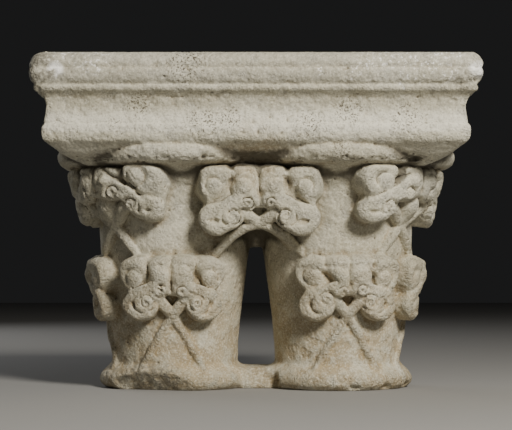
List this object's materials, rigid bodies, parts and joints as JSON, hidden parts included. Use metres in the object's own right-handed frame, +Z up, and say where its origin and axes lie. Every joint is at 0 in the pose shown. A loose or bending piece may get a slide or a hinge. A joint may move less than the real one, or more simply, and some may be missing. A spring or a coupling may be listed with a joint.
{
  "type": "double capital",
  "caption": "Carved stone capital for a pair of columns: two leafy bells on necking rings, joined under one moulded rectangular abacus, with worn and broken edges.",
  "frame": {"origin": "centre of the underside, midway between the two bells", "axes": "+X runs across the two bells, +Y from the front to the back, +Z up"},
  "size_m": [0.419, 0.259, 0.316],
  "materials": {
    "marble": "weathered off-white marble, matt, grainy at the edges, yellower low down and in the hollows"
  },
  "bodies": {
    "root": {"double_capital": "marble"}
  },
  "joints": []
}
